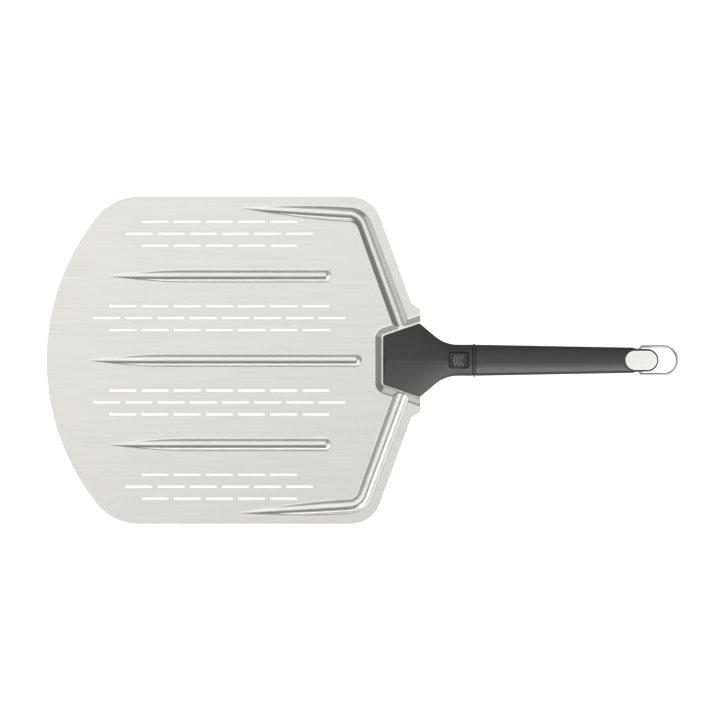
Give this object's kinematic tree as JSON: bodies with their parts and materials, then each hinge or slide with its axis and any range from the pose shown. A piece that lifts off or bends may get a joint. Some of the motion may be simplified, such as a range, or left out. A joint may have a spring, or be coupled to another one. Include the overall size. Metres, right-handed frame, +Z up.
{
  "type": "pizza peel",
  "caption": "Slotted, ribbed steel pizza peel blade with a plug-in grip, push-button release and a wire hanging loop at the grip's end.",
  "frame": {"origin": "middle of the overall length and width, on the table that the blade lies on", "axes": "+X from the blade's front edge towards the handle and its hanging loop, +Y across the blade, +Z up out of the blade's upper face"},
  "size_m": [0.6871, 0.356, 0.0296],
  "materials": {
    "brushed_sheet": "brushed along the length",
    "casing_plastic": "fine satin moulding",
    "cast_aluminium": "as cast",
    "liner_plastic": "natural nylon",
    "screw_steel": "plain steel",
    "spring_steel": "drawn wire and strip",
    "button_plastic": "fine satin moulding",
    "seal_rubber": "matte",
    "collar_plastic": "fine satin moulding",
    "grip_rubber": "soft-touch, very fine grain",
    "core_plastic": "glass-filled nylon",
    "tang_steel": "rolled and deburred",
    "badge_steel": "fine satin",
    "eyelet_steel": "turned",
    "loop_steel": "drawn wire, satin"
  },
  "bodies": {
    "head": {"blade": "brushed_sheet", "neck_upper": "casing_plastic", "neck_lower": "casing_plastic", "socket_bracket": "cast_aluminium", "socket_liner": "liner_plastic", "bracket_screws": "screw_steel", "casing_screws": "screw_steel", "button_spring": "spring_steel"},
    "button": {"release_button": "button_plastic"},
    "handle": {"handle_seal": "seal_rubber", "collar_ring": "collar_plastic", "grip_sleeve": "grip_rubber", "grip_core": "core_plastic", "tang": "tang_steel", "tang_pins": "screw_steel", "catch_spring": "spring_steel", "catch_rivet": "screw_steel", "badge_pad": "seal_rubber", "end_badge": "badge_steel", "loop_eyelets": "eyelet_steel"},
    "loop": {"hanging_loop": "loop_steel"}
  },
  "joints": [
    {"name": "button_press", "type": "slide", "parent": "head", "child": "button", "axis": [0, 0, -1], "range_m": [0, 0.0025], "stiffness_N_per_m": 500, "springref_m": -0.002, "deforming": ["button_spring", "catch_spring"]},
    {"name": "handle_release", "type": "slide", "parent": "head", "child": "handle", "axis": [1, 0, 0], "range_m": [0, 0.06], "deforming": ["catch_spring"]},
    {"name": "loop_swing", "type": "hinge", "parent": "handle", "child": "loop", "pos_m": [0.30205, 0, 0.015], "axis": [0, -1, 0], "range_deg": [-125, 160]}
  ]
}
